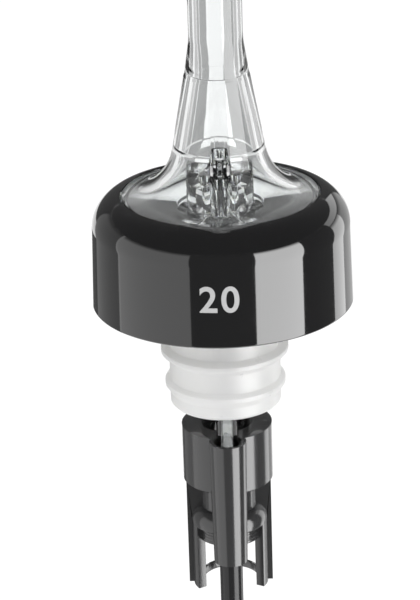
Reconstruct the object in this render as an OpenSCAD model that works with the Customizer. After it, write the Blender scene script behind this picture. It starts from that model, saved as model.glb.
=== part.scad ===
// Measured pourer for a bottle: a clear spout and stem, a black collar, a soft cork
// and a black ball cage. The drink runs up the metering stem, round the ball.
// Millimetres. The origin is the centre of the collar's lower rim, spout up, air side to -Y.

/* [Collar] */
// Radius of the collar at its lower rim
collar_r = 20.5; // [18:0.1:24]
// Height of the collar
collar_h = 17.8; // [17:0.1:20]
// How far the skirt leans in from the rim to the shoulder
collar_draft = 0.4; // [0.2:0.1:0.8]
// Radius of the rounded shoulder
shoulder_r = 5.2; // [4:0.1:5.6]
// Width of the collar's top from its foot's outside to the opening
rim_w = 5.0; // [4.6:0.1:5.8]
// Thickness of the skirt
skirt_t = 1.5; // [1.2:0.1:2]
// Thickness of the rim that holds the trumpet's flange down
rim_t = 1.0; // [0.8:0.1:1.2]
// Thickness of the inner wall round the flanges
inner_wall_t = 1.1; // [0.9:0.1:1.4]

/* [Trumpet and spout] */
// How far the trumpet's flange stays inside the collar's outside
flange_inset = 3.9; // [3.6:0.1:4.4]
// Thickness of the trumpet's flange
flange_t = 1.6; // [1.2:0.1:2]
// Width of the trumpet's foot from the flange's edge to the hollow
foot_w = 4.0; // [3.4:0.1:4.6]
// How far the trumpet's foot stands up inside the collar's opening
foot_rise = 0.8; // [0.5:0.1:0.9]
// Wall of the flared part
flare_wall = 1.6; // [1.3:0.1:1.9]
// Radius of the concave flare
flare_r = 9.0; // [8.6:0.1:9.6]
// Outer radius where the flare ends and the neck begins
neck_r = 7.2; // [6.8:0.1:7.6]
// Height of the neck's cone
neck_h = 11.6; // [10:0.1:14]
// Outer radius at the top of the neck's cone
neck_top_r = 5.1; // [4.8:0.05:5.4]
// Radius of the bore at the foot of the neck
neck_bore_r = 5.2; // [4.9:0.1:5.3]
// Outer radius of the spout's straight tube
spout_r = 4.17; // [4.05:0.01:4.4]
// Bore of the spout at its root
spout_bore_r = 2.95; // [2.6:0.05:3.1]
// Bore of the spout at its tip
tip_bore_r = 2.8; // [2.4:0.1:3]
// Height over which the cone turns into the straight tube
blend_h = 5.6; // [4.6:0.1:6.6]
// Length of the straight tube
spout_len = 20; // [16:0.5:40]
// Angle of the slanted cut at the tip
tip_angle = 35; // [20:1:45]

/* [Stem] */
// How far the base disc stays inside the flange's edge
base_inset = 0.2; // [0.1:0.05:0.5]
// Thickness of the base disc
base_t = 1.9; // [1.6:0.1:2.2]
// Radius of the round well in the base disc
well_r = 6.75; // [6.5:0.05:7.2]
// Depth of the well below the dish
well_depth = 0.8; // [0.5:0.1:0.9]
// Radius of the shallow dish that drains into the well
dish_r = 10.2; // [9:0.1:10.5]
// Depth of that dish
dish_depth = 0.8; // [0.4:0.1:0.9]
// Outer radius of the outlet crown
crown_r = 5.3; // [5.1:0.1:5.6]
// Wall of the outlet crown
crown_wall = 1.9; // [1.6:0.1:2]
// Height of the crown's posts above the well
crown_h = 8.3; // [7.4:0.1:8.6]
// Radius of the round bottom of a crown notch
notch_r = 2.3; // [2.1:0.1:2.4]
// Outer radius of the metering tube
meter_r = 4.1; // [4:0.05:4.3]
// Radius of the orifice that the ball shuts
orifice_r = 2.2; // [1.8:0.1:2.4]
// Outer radius of the air tube below the base
air_r = 1.75; // [1.7:0.01:1.8]
// Outer radius of the air stem above the base
air_stem_r = 1.45; // [1.3:0.05:1.55]
// Outer radius of its narrow tip, which goes up into the boss
air_tip_r = 0.95; // [0.9:0.01:1]
// Radius of the narrow air way
air_way_r = 0.6; // [0.5:0.01:0.65]
// Distance of the metering axis behind the middle
meter_y = 1.8; // [1.6:0.1:2]
// Distance of the air axis in front of the middle
air_y = 5.9; // [5.7:0.1:6]

/* [Balls] */
// Radius of the metering ball
ball_r = 3.0; // [2.9:0.05:3.05]
// Room between the metering ball and its tube
ball_room = 0.3; // [0.25:0.01:0.35]
// Radius of the two air balls
air_ball_r = 1.0; // [0.9:0.01:1.02]
// Room between an air ball and its tube
air_ball_room = 0.3; // [0.26:0.01:0.34]
// Gap between a resting ball and what it rests on
rest_gap = 0.15; // [0.1:0.01:0.3]

/* [Cork] */
// Radius of the cork's body
cork_r = 8.8; // [8.6:0.1:9.4]
// Thickness of the cork's head
cork_head_t = 2.0; // [1.6:0.1:2.4]
// Length of the cork below the collar's rim
cork_below = 17.3; // [16.5:0.1:19]
// Height of a fin's outer edge
fin_edge = 0.7; // [0.5:0.05:0.9]
// Distance from one fin to the next
fin_pitch = 5.55; // [5:0.05:5.8]
// Radius of the lowest fin
fin_r = 9.55; // [9.4:0.05:9.8]
// How much wider each next fin is
fin_growth = 0.55; // [0.4:0.05:0.6]
// Number of fins
fin_count = 3; // [2:1:3]

/* [Cage] */
// Gap between the cork and the cage
cage_gap = 4.7; // [4:0.1:7]
// Outer radius of the sleeve
sleeve_r = 7.25; // [7.1:0.05:7.5]
// Length of the sleeve
sleeve_h = 9.7; // [9:0.1:12]
// Wall of the sleeve
sleeve_wall = 1.35; // [1.1:0.05:1.5]
// Thickness of the sleeve's floor
floor_t = 1.5; // [1.2:0.1:1.8]
// Rounding cut off the sleeve's lower edge
sleeve_edge = 0.25; // [0.1:0.05:0.3]
// Length of the neck below the sleeve
cage_neck_h = 4.8; // [4:0.1:6]
// Outer radius of the cage's neck
cage_neck_r = 4.33; // [4.2:0.01:4.6]
// Outer radius of the bell
bell_r = 6.15; // [6:0.05:6.3]
// Radius of the bell's shoulder
bell_shoulder_r = 2.4; // [2:0.1:2.4]
// Height of the bell, its shoulder and mouth ring included
bell_h = 5.4; // [5.3:0.1:6]
// Height of the thin mouth ring below the bell's outer edge
mouth_h = 2.5; // [2:0.1:2.6]
// Wall of that mouth ring
mouth_wall = 0.55; // [0.45:0.05:0.8]
// Wall of the bell and of the legs
leg_wall = 1.4; // [1.2:0.05:1.5]
// Length of the legs below the bell
leg_len = 8.7; // [8:0.1:12]
// Half the angle that a leg covers
leg_half = 30; // [26:1:36]
// How far the side ribs stand out of the legs
rib_out = 0.7; // [0.5:0.05:0.75]
// Thickness of a side rib
rib_t = 0.9; // [0.7:0.05:1.2]
// Height of the ring that ties the feet together
tie_h = 1.25; // [1:0.05:2]
// Wall of that ring
tie_wall = 0.5; // [0.4:0.05:0.7]
// Inner radius of that ring
tie_in_r = 4.5; // [4.3:0.05:4.6]
// Outer radius of the front column at its top
column_r = 2.97; // [2.9:0.01:3.1]
// Outer radius of the front column at its foot
column_foot_r = 2.68; // [2.6:0.01:2.8]
// Length of the front column
column_len = 21; // [20:0.1:24]
// Radius of the keyhole round the air tube
keyhole_r = 2.3; // [2.2:0.05:2.4]

/* [Vent tube and stops] */
// Outer radius of the vent tube
vent_r = 1.83; // [1.8:0.01:1.9]
// Wall of the vent tube
vent_wall = 0.5; // [0.4:0.05:0.6]
// Length of the vent tube below the column
vent_free = 39; // [30:1:120]
// Length of the vent tube inside the column
vent_grip = 7; // [6:0.1:7.4]
// Radius of the hole in the ball stop
stop_hole_r = 2.4; // [2.2:0.05:2.5]
// Thickness of the ball stop
stop_t = 1.0; // [0.8:0.05:1.2]
// Length of the bush that carries the air balls
bush_len = 3; // [2.4:0.1:3.4]
// Bore of that bush
bush_bore_r = 0.7; // [0.6:0.01:0.8]

/* [Hidden] */
$fn = 96;
over = 1;           // overrun of a cut past the face it opens
fit = 0.05;         // gap round a tube that is pushed into a hole
seat = 0.05;        // gap between two seated faces

// Heights of the flanges, from the collar's rim down
flange_top = collar_h - rim_t;
base_top = flange_top - flange_t;
base_low = base_top - base_t;
cork_top = base_low;
head_low = cork_top - cork_head_t;

// Radii that follow the collar's outside
opening_r = collar_r - rim_w;
flange_r = collar_r - flange_inset;
base_r = flange_r - base_inset;
cavity_r = flange_r - foot_w;

// Collar
shoulder_x = collar_r - collar_draft - shoulder_r;
shoulder_z = collar_h - shoulder_r;
skirt_in = collar_r - skirt_t;
pocket_r = flange_r + 2 * fit;
inner_wall_r = pocket_r + inner_wall_t;
bead_r = pocket_r - 0.6 * inner_wall_t;
bead_h = 0.8 * inner_wall_t;
bead_z = head_low - bead_h - seat;
coring_z = shoulder_z + 0.6 * skirt_t;

// Trumpet: the flare runs into the neck's cone and into the top of the foot
neck_tilt = atan((neck_r - neck_top_r) / neck_h);
flare_bite = 0.02;   // how far the flare's arc cuts into the cone, so that the two faces cross
flare_x = neck_r - flare_bite + flare_r * cos(neck_tilt);
flare_z = flange_top + foot_rise + flare_r;
neck_z = flare_z - flare_r * sin(neck_tilt);
step_z = neck_z + neck_h;
tube_z = step_z + blend_h;
tip_z = tube_z + spout_len;
neck_bore_top_r = neck_top_r - 1.2 * flare_wall;
ceiling_z = neck_z + 0.1 * flare_wall;
boss_wall = 0.5;
boss_drop = 2.55;    // how far the air boss hangs below the ceiling
boss_r = air_tip_r + fit + boss_wall;
boss_low = ceiling_z - boss_drop;
vent_hole_r = 0.6 * air_way_r;
vent_hole_z = neck_z - 1.4 * vent_hole_r;
socket_top = vent_hole_z - air_way_r;
air_way_top = vent_hole_z + air_way_r;

// Stem
spigot_h = 0.3 * flange_t;
spigot_top = base_top + spigot_h;
dish_low = spigot_top - dish_depth;
dish_top_r = dish_r + over * (dish_r - well_r) / dish_depth;
well_z = dish_low - well_depth;
crown_top = well_z + crown_h;
notch_mid = crown_top - 0.6 * notch_r;
meter_bore = ball_r + ball_room;
seat_z = base_low - 0.8 * base_t;
air_bore = air_ball_r + air_ball_room;
air_bore_top = base_low - 0.4 * base_t;

// Cork
cork_low = -cork_below;
fin_low_rise = 3.7;   // from the cork's foot to the middle of the lowest fin
fin_low_z = cork_low + fin_low_rise;
fin_slope = 1.1;
cork_chamfer = 0.45;

// Cage, from the top down
sleeve_top = cork_low - cage_gap;
sleeve_low = sleeve_top - sleeve_h;
floor_top = sleeve_low + floor_t;
bell_top = sleeve_low - cage_neck_h;
bell_low = bell_top - bell_h;
bell_edge = bell_low + mouth_h;
shoulder_low = bell_top - bell_shoulder_r;
feet_low = bell_low - leg_len;
chamber_r = bell_r - leg_wall;
rib_r = bell_r + rib_out;
socket_wall = 0.8;
socket_h = 5;
column_low = sleeve_top - column_len;
grip_top = column_low + vent_grip;
web_t = 1.4;
web_top = grip_top + web_t;
stop_low = bell_low + 0.1 * leg_wall;
stop_top = stop_low + stop_t;

// Where the balls rest
ball_z = stop_top + sqrt(pow(ball_r + rest_gap, 2) - pow(stop_hole_r, 2));
bush_low = web_top + seat;
bush_top = bush_low + bush_len;
air_ball_z = bush_top + sqrt(pow(air_ball_r + rest_gap, 2) - pow(bush_bore_r, 2));
air_ball_pitch = 2 * air_ball_r + rest_gap;

// A solid of revolution about the Z axis
module turned() { rotate_extrude() children(); }

// A ring between two radii and two heights
module ring(out_r, in_r, low, top) {
    translate([0, 0, low]) difference() {
        cylinder(r = out_r, h = top - low);
        translate([0, 0, -over]) cylinder(r = in_r, h = top - low + 2 * over);
    }
}

// A round hole from one height to another
module hole(r, low, top) { translate([0, 0, low]) cylinder(r = r, h = top - low); }

// The half plane of a profile between two heights, out to a radius
module band(r, low, top) { translate([0, low]) square([r, top - low]); }

// A wedge that keeps the angles within half of the -X and +X sides
module side_wedges(half, reach, low, top) {
    for (side = [0, 180]) rotate([0, 0, side]) translate([0, 0, low]) linear_extrude(top - low)
        polygon([[0, 0], [2 * reach, -2 * reach * tan(half)], [2 * reach, 2 * reach * tan(half)]]);
}

module at_meter() { translate([0, meter_y, 0]) children(); }
module at_air() { translate([0, -air_y, 0]) children(); }

// Outside of the trumpet and spout: flange, flare, neck cone, blend and tube
module spout_outline() {
    band(flange_r, base_top, flange_top);
    difference() {
        union() {
            band(min(opening_r - 4 * fit, flare_x), base_top, neck_z);
            polygon([[0, neck_z - over], [neck_r, neck_z - over], [neck_r, neck_z],
                     [neck_top_r, step_z], [spout_r, tube_z], [spout_r, tip_z + over],
                     [0, tip_z + over]]);
        }
        translate([flare_x, flare_z]) circle(r = flare_r);
    }
}

// Hollow of the trumpet and the bores above it
module spout_hollow() {
    difference() {
        band(cavity_r, base_top - over, ceiling_z);
        translate([flare_x, flare_z]) circle(r = flare_r + flare_wall);
    }
    polygon([[0, ceiling_z - over], [neck_bore_r, ceiling_z - over], [neck_bore_r, ceiling_z],
             [neck_bore_top_r, step_z], [spout_bore_r, step_z], [tip_bore_r, tip_z + 2 * over],
             [0, tip_z + 2 * over]]);
}

module spout() color([0.86, 0.88, 0.88, 0.4]) difference() {
    union() {
        difference() {
            turned() spout_outline();
            turned() spout_hollow();
        }
        intersection() {
            at_air() hole(boss_r, boss_low, neck_z + flare_wall);
            turned() spout_outline();
        }
    }
    at_air() hole(air_stem_r + 2 * fit, base_top - over, boss_low + seat);
    at_air() hole(air_tip_r + fit, boss_low - over, socket_top);
    at_air() hole(air_way_r, socket_top - over, air_way_top);
    translate([0, -air_y, vent_hole_z]) rotate([90, 0, 0]) cylinder(r = vent_hole_r, h = neck_r);
    translate([0, spout_r, tip_z]) rotate([tip_angle, 0, 0]) translate([0, 0, 2 * spout_r])
        cube([4 * spout_r, 8 * spout_r, 4 * spout_r], center = true);
}

// The well and the shallow dish round it
module dish_outline() {
    polygon([[0, well_z], [well_r, well_z], [well_r, dish_low], [dish_top_r, spigot_top + over],
             [0, spigot_top + over]]);
}

// Crown of four posts with round-bottomed notches between them
module crown() {
    difference() {
        ring(crown_r, crown_r - crown_wall, well_z - seat, crown_top);
        for (turn = [45 : 90 : 315]) rotate([0, 0, turn]) {
            translate([0, 0, notch_mid]) rotate([0, 90, 0])
                cylinder(r = notch_r, h = 2 * crown_r);
            translate([0, -notch_r, notch_mid])
                cube([2 * crown_r, 2 * notch_r, notch_r]);
        }
    }
}

module stem() color([0.84, 0.86, 0.87, 0.4]) difference() {
    union() {
        difference() {
            union() {
                hole(base_r, base_low, base_top);
                hole(cavity_r - 2 * fit, base_low, spigot_top);
            }
            at_meter() turned() dish_outline();
        }
        difference() {
            at_meter() crown();
            turned() translate([flare_x, flare_z]) circle(r = flare_r + flare_wall + 2 * fit);
        }
        at_meter() hole(meter_r, floor_top + seat, base_low + seat);
        at_air() hole(air_r, web_top + seat, base_low + seat);
        at_air() hole(air_stem_r, base_low, boss_low - 6 * fit);
        at_air() hole(air_tip_r, base_low, socket_top - seat);
    }
    at_meter() hole(meter_bore, floor_top - over, seat_z);
    at_meter() translate([0, 0, seat_z])
        cylinder(r1 = meter_bore, r2 = orifice_r, h = meter_bore - orifice_r);
    at_meter() hole(orifice_r, seat_z, spigot_top + over);
    at_air() hole(air_bore, web_top - over, air_bore_top);
    at_air() hole(air_way_r, air_bore_top - over, socket_top + over);
}

module collar() color([0.06, 0.06, 0.065]) turned() difference() {
    union() {
        polygon([[0, 0], [collar_r, 0], [collar_r - collar_draft, shoulder_z], [0, shoulder_z]]);
        translate([shoulder_x, shoulder_z]) circle(r = shoulder_r);
        band(shoulder_x, shoulder_z, collar_h);
    }
    band(opening_r, -over, collar_h + over);
    band(pocket_r, bead_z + bead_h, flange_top);
    band(bead_r, -over, collar_h - shoulder_r);
    band(skirt_in, -over, bead_z);
    difference() {
        band(skirt_in, -over, coring_z);
        band(inner_wall_r, -2 * over, coring_z + over);
    }
}

// One sealing fin: a straight outer edge with a slope above and below
module fin(edge_r, mid) {
    polygon([[0, mid - fin_edge / 2 - fin_slope], [cork_r, mid - fin_edge / 2 - fin_slope],
             [edge_r, mid - fin_edge / 2], [edge_r, mid + fin_edge / 2],
             [cork_r, mid + fin_edge / 2 + fin_slope / 2], [0, mid + fin_edge / 2 + fin_slope / 2]]);
}

module cork() color([0.93, 0.93, 0.91]) difference() {
    turned() {
        band(base_r, head_low, cork_top - seat);
        band(cork_r, cork_low + cork_chamfer, cork_top - seat);
        polygon([[0, cork_low], [cork_r - cork_chamfer, cork_low],
                 [cork_r, cork_low + cork_chamfer], [0, cork_low + cork_chamfer]]);
        for (i = [0 : fin_count - 1]) fin(fin_r + i * fin_growth, fin_low_z + i * fin_pitch);
    }
    at_meter() hole(meter_r + fit, cork_low - over, cork_top + over);
    at_air() hole(air_r + fit, cork_low - over, cork_top + over);
}

// The cage's outside about the metering axis: sleeve, neck and round-shouldered bell
module cage_outline() {
    polygon([[0, sleeve_top], [sleeve_r, sleeve_top], [sleeve_r, sleeve_low + sleeve_edge],
             [sleeve_r - sleeve_edge, sleeve_low], [0, sleeve_low]]);
    band(cage_neck_r, bell_low, sleeve_low + over);
    intersection() {
        translate([bell_r - bell_shoulder_r, shoulder_low]) circle(r = bell_shoulder_r);
        band(bell_r, shoulder_low, bell_top);
    }
    band(bell_r, bell_edge, shoulder_low);
    band(chamber_r + mouth_wall, bell_low, shoulder_low);
}

// What is hollow about the metering axis: sleeve, ball way and ball chamber
module cage_hollow() {
    difference() {
        band(sleeve_r - sleeve_wall, floor_top, sleeve_top + over);
        band(meter_r + fit + socket_wall, floor_top - over, floor_top + socket_h);
    }
    band(meter_r + fit, floor_top, floor_top + socket_h + over);
    band(meter_bore, bell_low, floor_top + over);
    polygon([[0, bell_low - over], [chamber_r, bell_low - over], [chamber_r, shoulder_low],
             [meter_bore, bell_top - leg_wall / 2], [0, bell_top - leg_wall / 2]]);
}

// Legs, side ribs and the ring that ties the feet at the back
module cage_legs() {
    intersection() {
        ring(bell_r, chamber_r, feet_low, shoulder_low);
        side_wedges(leg_half, rib_r, feet_low, shoulder_low);
    }
    difference() {
        translate([-rib_r, -rib_t / 2, feet_low]) cube([2 * rib_r, rib_t, sleeve_low + seat - feet_low]);
        hole(chamber_r, feet_low - over, bell_low);
    }
    intersection() {
        ring(tie_in_r + tie_wall, tie_in_r, feet_low, feet_low + tie_h);
        translate([-2 * bell_r, 0, feet_low - over]) cube([4 * bell_r, 2 * bell_r, tie_h + 2 * over]);
    }
}

module cage() color([0.13, 0.13, 0.135]) difference() {
    union() {
        at_meter() turned() cage_outline();
        at_meter() cage_legs();
        at_air() translate([0, 0, column_low])
            cylinder(r1 = column_foot_r, r2 = column_r, h = sleeve_top - column_low);
    }
    at_meter() turned() cage_hollow();
    at_air() hole(keyhole_r, sleeve_top - keyhole_r, sleeve_top + over);
    at_air() hole(air_r + fit, web_top, sleeve_top + over);
    at_air() hole(air_way_r, column_low, web_top + over);
    at_air() hole(vent_r + fit, column_low - over, grip_top);
}

// Ring snapped into the mouth of the bell, which the metering ball rests on
module ball_stop() color([0.2, 0.2, 0.205]) at_meter() turned() difference() {
    band(chamber_r - fit, stop_low, stop_top);
    band(stop_hole_r, stop_low - over, stop_top + over);
}

module vent_tube() color([0.12, 0.12, 0.125]) at_air()
    ring(vent_r, vent_r - vent_wall, column_low - vent_free, grip_top - seat);

module air_bush() color([0.9, 0.9, 0.88]) at_air()
    ring(air_bore - fit, bush_bore_r, bush_low, bush_top);

module metering_ball() color([0.72, 0.73, 0.75]) at_meter()
    translate([0, 0, ball_z]) sphere(r = ball_r);

module air_ball_lower() color([0.72, 0.73, 0.75]) at_air()
    translate([0, 0, air_ball_z]) sphere(r = air_ball_r);

module air_ball_upper() color([0.72, 0.73, 0.75]) at_air()
    translate([0, 0, air_ball_z + air_ball_pitch]) sphere(r = air_ball_r);

spout();
stem();
collar();
cork();
cage();
ball_stop();
vent_tube();
air_bush();
metering_ball();
air_ball_lower();
air_ball_upper();
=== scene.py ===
# %% [markdown]
# # A measured pourer for a bottle
#
# This lesson dresses a small bar tool. A clear spout stands in a glossy black collar. A soft white cork goes into
# the bottle, and below it a black cage and two tubes hold the balls that set the measure. The pieces come from a
# CAD model as named nodes. Each one gets a finer mesh here, in the same place and at the same outer size.

# %% Load the frame
import math

import bpy
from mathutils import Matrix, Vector


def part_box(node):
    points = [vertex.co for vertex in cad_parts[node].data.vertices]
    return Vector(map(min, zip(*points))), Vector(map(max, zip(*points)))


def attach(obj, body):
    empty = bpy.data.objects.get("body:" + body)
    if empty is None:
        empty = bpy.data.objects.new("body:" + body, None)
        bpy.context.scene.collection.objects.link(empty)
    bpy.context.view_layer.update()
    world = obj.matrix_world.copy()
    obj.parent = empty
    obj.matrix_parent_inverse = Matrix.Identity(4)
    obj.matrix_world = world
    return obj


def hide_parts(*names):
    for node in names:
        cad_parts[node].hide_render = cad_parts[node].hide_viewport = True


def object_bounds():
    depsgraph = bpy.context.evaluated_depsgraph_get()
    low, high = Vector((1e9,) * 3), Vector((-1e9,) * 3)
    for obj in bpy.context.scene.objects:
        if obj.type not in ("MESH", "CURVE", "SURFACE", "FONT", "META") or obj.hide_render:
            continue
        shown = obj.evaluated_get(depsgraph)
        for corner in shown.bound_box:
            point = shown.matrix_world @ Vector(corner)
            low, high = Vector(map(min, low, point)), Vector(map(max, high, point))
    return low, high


mm = 0.001
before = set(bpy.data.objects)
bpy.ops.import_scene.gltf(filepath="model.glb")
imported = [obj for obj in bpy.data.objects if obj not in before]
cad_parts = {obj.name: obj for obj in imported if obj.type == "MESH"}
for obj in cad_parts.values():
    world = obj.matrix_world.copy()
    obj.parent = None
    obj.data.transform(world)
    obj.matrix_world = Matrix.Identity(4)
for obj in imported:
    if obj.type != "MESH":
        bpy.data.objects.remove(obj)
cad_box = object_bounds()
print("nodes:", sorted(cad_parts))

# %% [markdown]
# ## The camera
#
# The photograph was taken from close by and a little above, with the camera turned slightly on its axis. A long
# lens at 400 mm gives the same narrowing from the collar to the cage. The distance, the tilt and the turn were
# fitted to the ellipses of the collar and the cage, and the scale is the number of pixels that one millimetre
# covers at the collar's lower rim.

# %% Camera
IMAGE_WIDTH_PX = 420
IMAGE_HEIGHT_PX = 600
SENSOR_MM = 36
PX_PER_MM = 6.374
VIEW_DISTANCE = 400 * mm
VIEW_TILT = math.radians(21.93)
VIEW_ROLL = math.radians(1.80)
RIM_CENTRE_PX = (223.3, 298.94)
CLIP_START = 10 * mm


def add_camera():
    """A camera that sees the middle of the collar's rim at RIM_CENTRE_PX."""
    forward = Vector((0, math.cos(VIEW_TILT), -math.sin(VIEW_TILT)))
    right = Vector((1, 0, 0))
    up = right.cross(forward)
    across = (IMAGE_WIDTH_PX / 2 - RIM_CENTRE_PX[0]) / PX_PER_MM * mm
    rise = (RIM_CENTRE_PX[1] - IMAGE_HEIGHT_PX / 2) / PX_PER_MM * mm
    rolled_across = across * math.cos(VIEW_ROLL) - rise * math.sin(VIEW_ROLL)
    rolled_rise = across * math.sin(VIEW_ROLL) + rise * math.cos(VIEW_ROLL)
    place = -VIEW_DISTANCE * forward + rolled_across * right + rolled_rise * up
    bpy.ops.object.camera_add(location=place, rotation=(math.pi / 2 - VIEW_TILT, 0, 0))
    camera = bpy.context.object
    camera.name = "camera"
    camera.rotation_euler.rotate_axis("Z", -VIEW_ROLL)
    focal_px = PX_PER_MM * VIEW_DISTANCE / mm
    camera.data.lens = focal_px / IMAGE_HEIGHT_PX * SENSOR_MM
    camera.data.sensor_width = SENSOR_MM
    camera.data.clip_start = CLIP_START
    bpy.context.scene.camera = camera
    print("lens of %.0f mm at %.0f mm" % (camera.data.lens, VIEW_DISTANCE / mm))


add_camera()

# %% [markdown]
# ## Drawing an outline
#
# Nearly every piece here is moulded round an axis, so it is made as on a lathe, from an outline in a half plane. An
# outline point is a radius, a height and, where the corner is rounded, the radius of that fillet, all in
# millimetres. A bevel modifier could round the corners later, but with one width for all of them. So the arc of
# each fillet is worked out here, and the outline already has it.

# %% Outline helpers
ARC_STEP = math.radians(9)


def arc(centre_r, centre_z, radius, start, stop, steps):
    """Points on an arc of an outline, from one angle to another in degrees."""
    angles = [math.radians(start + (stop - start) * i / steps) for i in range(steps + 1)]
    return [(centre_r + radius * math.cos(a), centre_z + radius * math.sin(a)) for a in angles]


def fillet(before, corner, after, radius):
    """Points of the arc that rounds a corner and touches both of its sides."""
    here = Vector(corner[:2])
    back = (Vector(before[:2]) - here).normalized()
    ahead = (Vector(after[:2]) - here).normalized()
    half = back.angle(ahead) / 2
    cut_back = radius / math.tan(half)
    middle = here + (back + ahead).normalized() * radius / math.sin(half)
    first = here + back * cut_back - middle
    sweep = math.pi - 2 * half
    side = 1 if first.x * (ahead - back).y - first.y * (ahead - back).x > 0 else -1
    steps = max(2, round(sweep / ARC_STEP))
    points = []
    for i in range(steps + 1):
        a = side * sweep * i / steps
        points.append((middle.x + first.x * math.cos(a) - first.y * math.sin(a),
                       middle.y + first.x * math.sin(a) + first.y * math.cos(a)))
    return points


def rounded(corners):
    """A closed outline whose corners with a third value are rounded by that radius."""
    points = []
    for i, corner in enumerate(corners):
        if len(corner) == 3:
            points += fillet(corners[i - 1], corner, corners[(i + 1) % len(corners)], corner[2])
        else:
            points.append(corner)
    return points


# %% [markdown]
# ## Turning it round
#
# The outline is drawn point by point with extrude, from a plane whose corners are first merged into one vertex, and
# spin carries it round its axis. The ends of a full turn meet, and the points on the axis fall together, so doubles
# are merged and the normals are made to point outwards.

# %% Drawing and turning
FULL_TURN = 2 * math.pi
SIDES = 128
WELD = 0.001 * mm


def deselect():
    """Leaves edit mode and selects nothing, because an operator acts on all that is selected."""
    if bpy.context.mode != "OBJECT":
        bpy.ops.object.mode_set(mode="OBJECT")
    bpy.ops.object.select_all(action="DESELECT")


def pick(piece):
    """Selects one piece alone and makes it the active one."""
    deselect()
    piece.select_set(True)
    bpy.context.view_layer.objects.active = piece


def draw(name, points, axis=(0, 0), azimuth=0):
    """Extrudes a closed outline of (radius, height) points in millimetres, in the half plane at an azimuth."""
    places = [Vector((axis[0] + r * math.cos(azimuth), axis[1] + r * math.sin(azimuth), z)) * mm
              for r, z in points]
    deselect()
    bpy.ops.mesh.primitive_plane_add(size=mm)
    piece = bpy.context.object
    piece.name = name
    bpy.ops.object.mode_set(mode="EDIT")
    bpy.ops.mesh.merge(type="CENTER")
    bpy.ops.transform.translate(value=places[0])
    for here, there in zip(places, places[1:] + places[:1]):
        bpy.ops.mesh.extrude_region_move(TRANSFORM_OT_translate={"value": there - here})
    bpy.ops.mesh.select_all(action="SELECT")
    bpy.ops.mesh.remove_doubles(threshold=WELD)
    return piece


def turn(name, points, axis=(0, 0), sides=SIDES, azimuth=0, angle=FULL_TURN):
    """Draws an outline and spins it about an upright axis. A part turn starts from a face, which closes its ends."""
    piece = draw(name, points, axis, azimuth)
    bpy.ops.mesh.select_all(action="SELECT")
    if angle < FULL_TURN:
        bpy.ops.mesh.edge_face_add()
    bpy.ops.mesh.spin(steps=sides, angle=angle, center=(axis[0] * mm, axis[1] * mm, 0), axis=(0, 0, -1))
    bpy.ops.mesh.select_all(action="SELECT")
    bpy.ops.mesh.remove_doubles(threshold=WELD)
    bpy.ops.mesh.dissolve_degenerate(threshold=WELD)
    bpy.ops.mesh.select_all(action="SELECT")
    bpy.ops.mesh.normals_make_consistent(inside=False)
    bpy.ops.object.mode_set(mode="OBJECT")
    return piece


def rod(name, axis, radius, low, high, sides=SIDES):
    """A round bar about an upright axis."""
    return turn(name, [(0, low), (radius, low), (radius, high), (0, high)], axis, sides)


# %% [markdown]
# ## Joining, cutting and smoothing
#
# Holes and slots that don't lie on a piece's own axis are cut with a boolean modifier, which is applied at once. The
# exact solver keeps the mesh closed. Its new edges are sharp, and a narrow bevel rounds them where the moulding
# shows it. Weighted normals then keep the flat faces flat beside these small rounds.

# %% Joining and finishing
BEVEL_SEGMENTS = 2


def combine(piece, tool, operation):
    """Adds, cuts or keeps the overlap of another solid, which is then gone."""
    pick(piece)
    step = piece.modifiers.new("combine", "BOOLEAN")
    step.operation = operation
    step.solver = "EXACT"
    step.object = tool
    bpy.ops.object.modifier_apply(modifier=step.name)
    bpy.data.objects.remove(tool, do_unlink=True)
    return piece


def soften(piece, width, angle=32):
    """Rounds the sharp edges that are left, unless the width is 0, and smooths the faces between them."""
    pick(piece)
    if width:
        step = piece.modifiers.new("edges", "BEVEL")
        step.width = width * mm
        step.segments = BEVEL_SEGMENTS
        step.limit_method = "ANGLE"
        step.angle_limit = math.radians(angle)
        step.miter_outer = "MITER_ARC"
        bpy.ops.object.modifier_apply(modifier=step.name)
    bpy.ops.object.shade_smooth_by_angle(angle=math.radians(angle))
    if width:
        step = piece.modifiers.new("normals", "WEIGHTED_NORMAL")
        step.keep_sharp = True
        bpy.ops.object.modifier_apply(modifier=step.name)
    return piece


def settle(piece, node, body, material):
    """Gives a finished piece its material, body and slot, and lets it stand for its CAD node."""
    piece.data.materials.clear()
    piece.data.materials.append(material)
    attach(piece, body)
    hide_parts(node)
    print("%s: %d faces" % (piece.name, len(piece.data.polygons)))


# %% [markdown]
# ## Finishes
#
# The object has a clear moulding, three blacks that differ in gloss, a soft translucent white, steel and a light
# print. Each one is a Principled shader, with noise in object space for the small unevenness that moulded plastic
# has. Values that are the same everywhere go straight into the shader's sockets.

# %% Material helpers
NOISE_LOW = 0.3
NOISE_HIGH = 0.7


def new_material(name, base, roughness, ior=1.49):
    """A Principled material, its node tree and its shader."""
    material = bpy.data.materials.new(name)
    material.use_nodes = True
    shader = material.node_tree.nodes["Principled BSDF"]
    shader.inputs["Base Color"].default_value = (*base, 1)
    shader.inputs["Roughness"].default_value = roughness
    shader.inputs["IOR"].default_value = ior
    return material, material.node_tree, shader


def object_noise(tree, scale, stretch=(1, 1, 1), detail=3.0):
    """Noise in object space, drawn out along an axis where stretch is below one."""
    place = tree.nodes.new("ShaderNodeTexCoord")
    mapping = tree.nodes.new("ShaderNodeMapping")
    mapping.inputs["Scale"].default_value = stretch
    noise = tree.nodes.new("ShaderNodeTexNoise")
    noise.inputs["Scale"].default_value = scale
    noise.inputs["Detail"].default_value = detail
    tree.links.new(place.outputs["Object"], mapping.inputs["Vector"])
    tree.links.new(mapping.outputs["Vector"], noise.inputs["Vector"])
    return noise


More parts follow.
